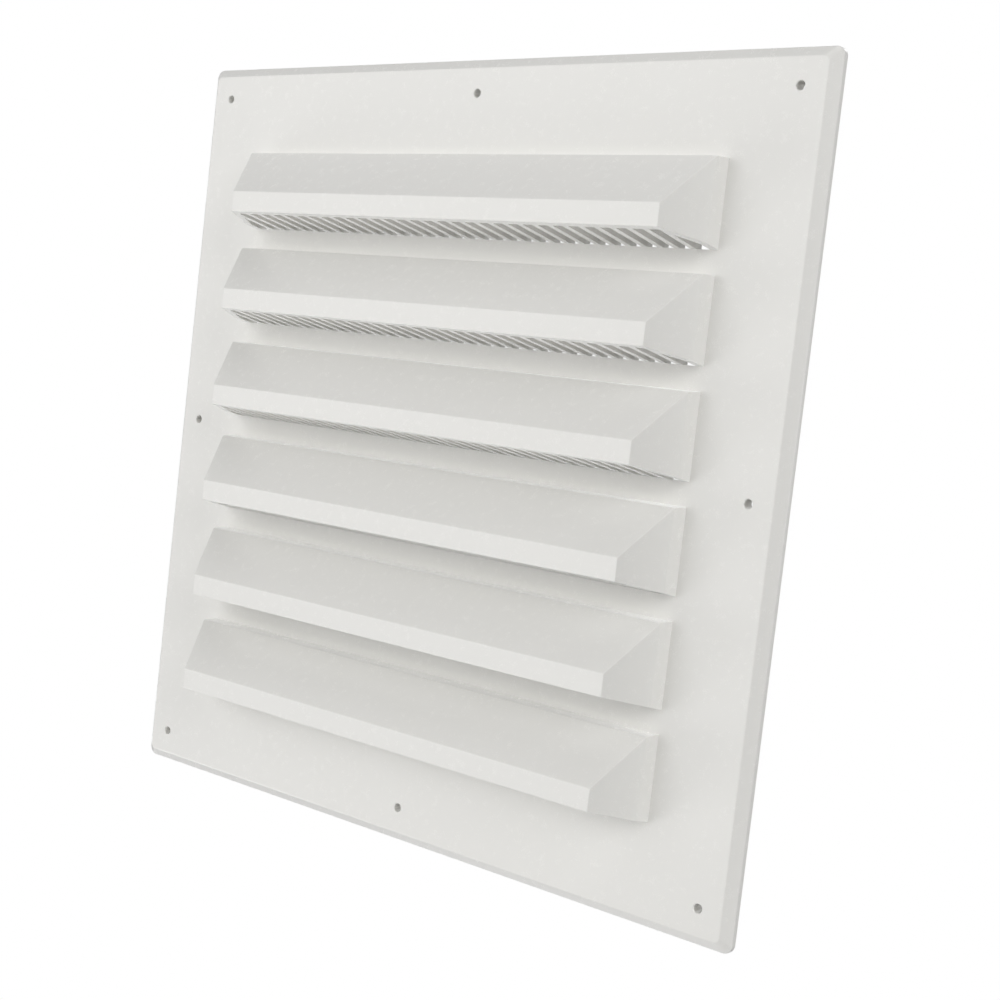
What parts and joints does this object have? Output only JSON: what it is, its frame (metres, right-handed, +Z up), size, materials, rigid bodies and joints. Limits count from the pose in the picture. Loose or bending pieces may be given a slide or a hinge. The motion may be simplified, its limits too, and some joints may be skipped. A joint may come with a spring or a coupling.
{
  "type": "louvred vent grille",
  "caption": "Square wall vent grille with sloping hooded louvres, a slotted comb under each hood, a bevelled border and plain screw holes.",
  "frame": {"origin": "middle of the plate, on the wall", "axes": "+X to the right seen from the front, +Y into the wall, +Z up"},
  "size_m": [0.4, 0.0377, 0.4],
  "materials": {
    "plastic": "satin moulded off-white plastic"
  },
  "bodies": {
    "root": {"grille": "plastic"}
  },
  "joints": []
}
